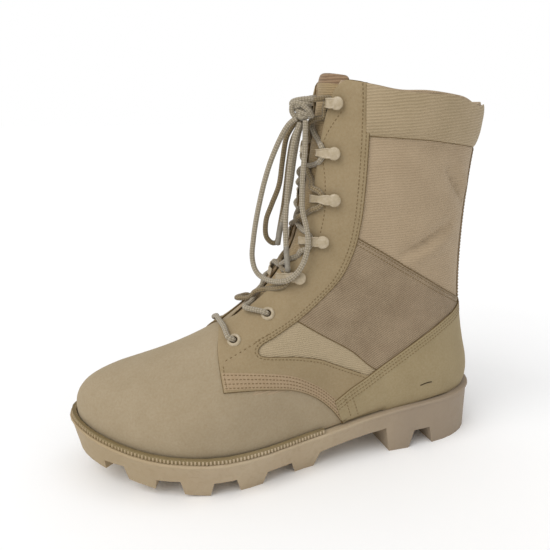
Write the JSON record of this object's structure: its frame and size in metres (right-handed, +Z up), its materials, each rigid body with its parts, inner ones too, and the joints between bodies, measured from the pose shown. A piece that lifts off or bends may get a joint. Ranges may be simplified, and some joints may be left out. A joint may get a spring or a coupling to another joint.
{
  "type": "combat boot",
  "caption": "Left lace-up combat boot with lugged rubber sole, leather and nylon upper, eyelets, speed hooks and a tied round lace.",
  "frame": {"origin": "on the floor, under the middle of the boot's bounding box", "axes": "-X to the toe, +X to the heel, -Y to the outer side of the left foot, +Z up"},
  "size_m": [0.306, 0.1129, 0.2696],
  "materials": {
    "sole_rubber": "matt moulded tan rubber",
    "footbed": "dark textile footbed",
    "leather": "matt sand nubuck, with ribbed nylon panels in the looks",
    "tongue_fabric": "sand nylon over padding",
    "painted_brass": "cream lacquer, satin",
    "lace": "round braided lace, taupe with light flecks"
  },
  "bodies": {
    "root": {"outsole": "sole_rubber", "welt": "sole_rubber", "insole": "footbed", "upper": "leather", "tongue": "tongue_fabric", "eyelet_outer_1": "painted_brass", "eyelet_outer_2": "painted_brass", "eyelet_inner_1": "painted_brass", "eyelet_inner_2": "painted_brass", "hook_outer_1": "painted_brass", "hook_outer_2": "painted_brass", "hook_outer_3": "painted_brass", "hook_outer_4": "painted_brass", "hook_outer_5": "painted_brass", "hook_inner_1": "painted_brass", "hook_inner_2": "painted_brass", "hook_inner_3": "painted_brass", "hook_inner_4": "painted_brass", "hook_inner_5": "painted_brass", "lace_crossings": "lace", "lace_lowest_bar": "lace", "lace_knot": "lace", "lace_loop_outer": "lace", "lace_loop_inner": "lace", "lace_end_outer": "lace", "lace_end_inner": "lace"}
  },
  "joints": []
}
